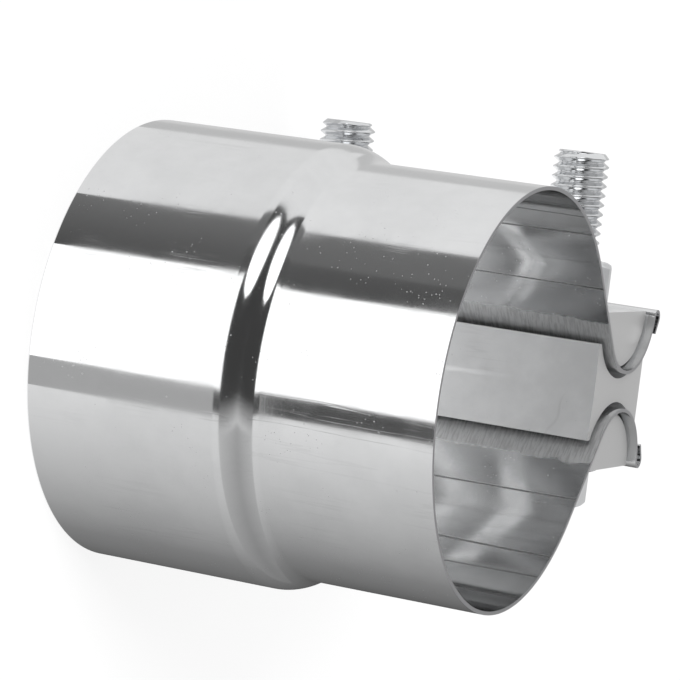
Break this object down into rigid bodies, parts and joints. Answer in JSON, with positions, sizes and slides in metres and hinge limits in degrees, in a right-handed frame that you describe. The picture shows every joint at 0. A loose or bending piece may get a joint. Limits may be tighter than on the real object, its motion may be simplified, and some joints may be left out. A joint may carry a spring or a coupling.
{
  "type": "lap joint exhaust clamp",
  "caption": "Wide stepped sheet clamp that joins a pipe to one slipped over it; rolled loops hold half round bars drawn together across a waisted block by flange bolts and hex nuts.",
  "frame": {"origin": "centre of the band's bore in the plane of the large end's edge", "axes": "+X points from the pipe's axis out to the bolts and the reaction block, +Y runs along the bolts from their heads to their nuts and tips, +Z runs along the pipe from the large end to the small end"},
  "size_m": [0.0924, 0.0743, 0.0675],
  "materials": {
    "polished_sheet": "bright polished stainless sheet with fine scratches",
    "satin_bar": "satin drawn steel with dull sawn ends",
    "plated_fastener": "bright zinc plating"
  },
  "bodies": {
    "clamp": {"band": "polished_sheet", "reaction_block": "satin_bar", "head_side_bar": "satin_bar", "nut_side_bar": "satin_bar"},
    "small_bolt": {"small_end_bolt": "plated_fastener"},
    "large_bolt": {"large_end_bolt": "plated_fastener"},
    "small_nut": {"small_end_nut": "plated_fastener"},
    "large_nut": {"large_end_nut": "plated_fastener"}
  },
  "joints": [
    {"name": "turn_small_bolt", "type": "hinge", "parent": "clamp", "child": "small_bolt", "pos_m": [0.0443, 0, 0.0546], "axis": [0, -1, 0], "range_deg": [-45, 4080]},
    {"name": "small_nut_travel", "type": "slide", "parent": "clamp", "child": "small_nut", "axis": [0, 1, 0], "range_m": [-0.0002, 0.018]},
    {"name": "turn_large_bolt", "type": "hinge", "parent": "clamp", "child": "large_bolt", "pos_m": [0.0443, 0, 0.011], "axis": [0, -1, 0], "range_deg": [-45, 4080]},
    {"name": "large_nut_travel", "type": "slide", "parent": "clamp", "child": "large_nut", "axis": [0, 1, 0], "range_m": [-0.0002, 0.018]}
  ],
  "couplings": [
    {"joint": "small_nut_travel", "follows": "turn_small_bolt", "m_per_rad": 0.00025266},
    {"joint": "large_nut_travel", "follows": "turn_large_bolt", "m_per_rad": 0.00025266}
  ]
}
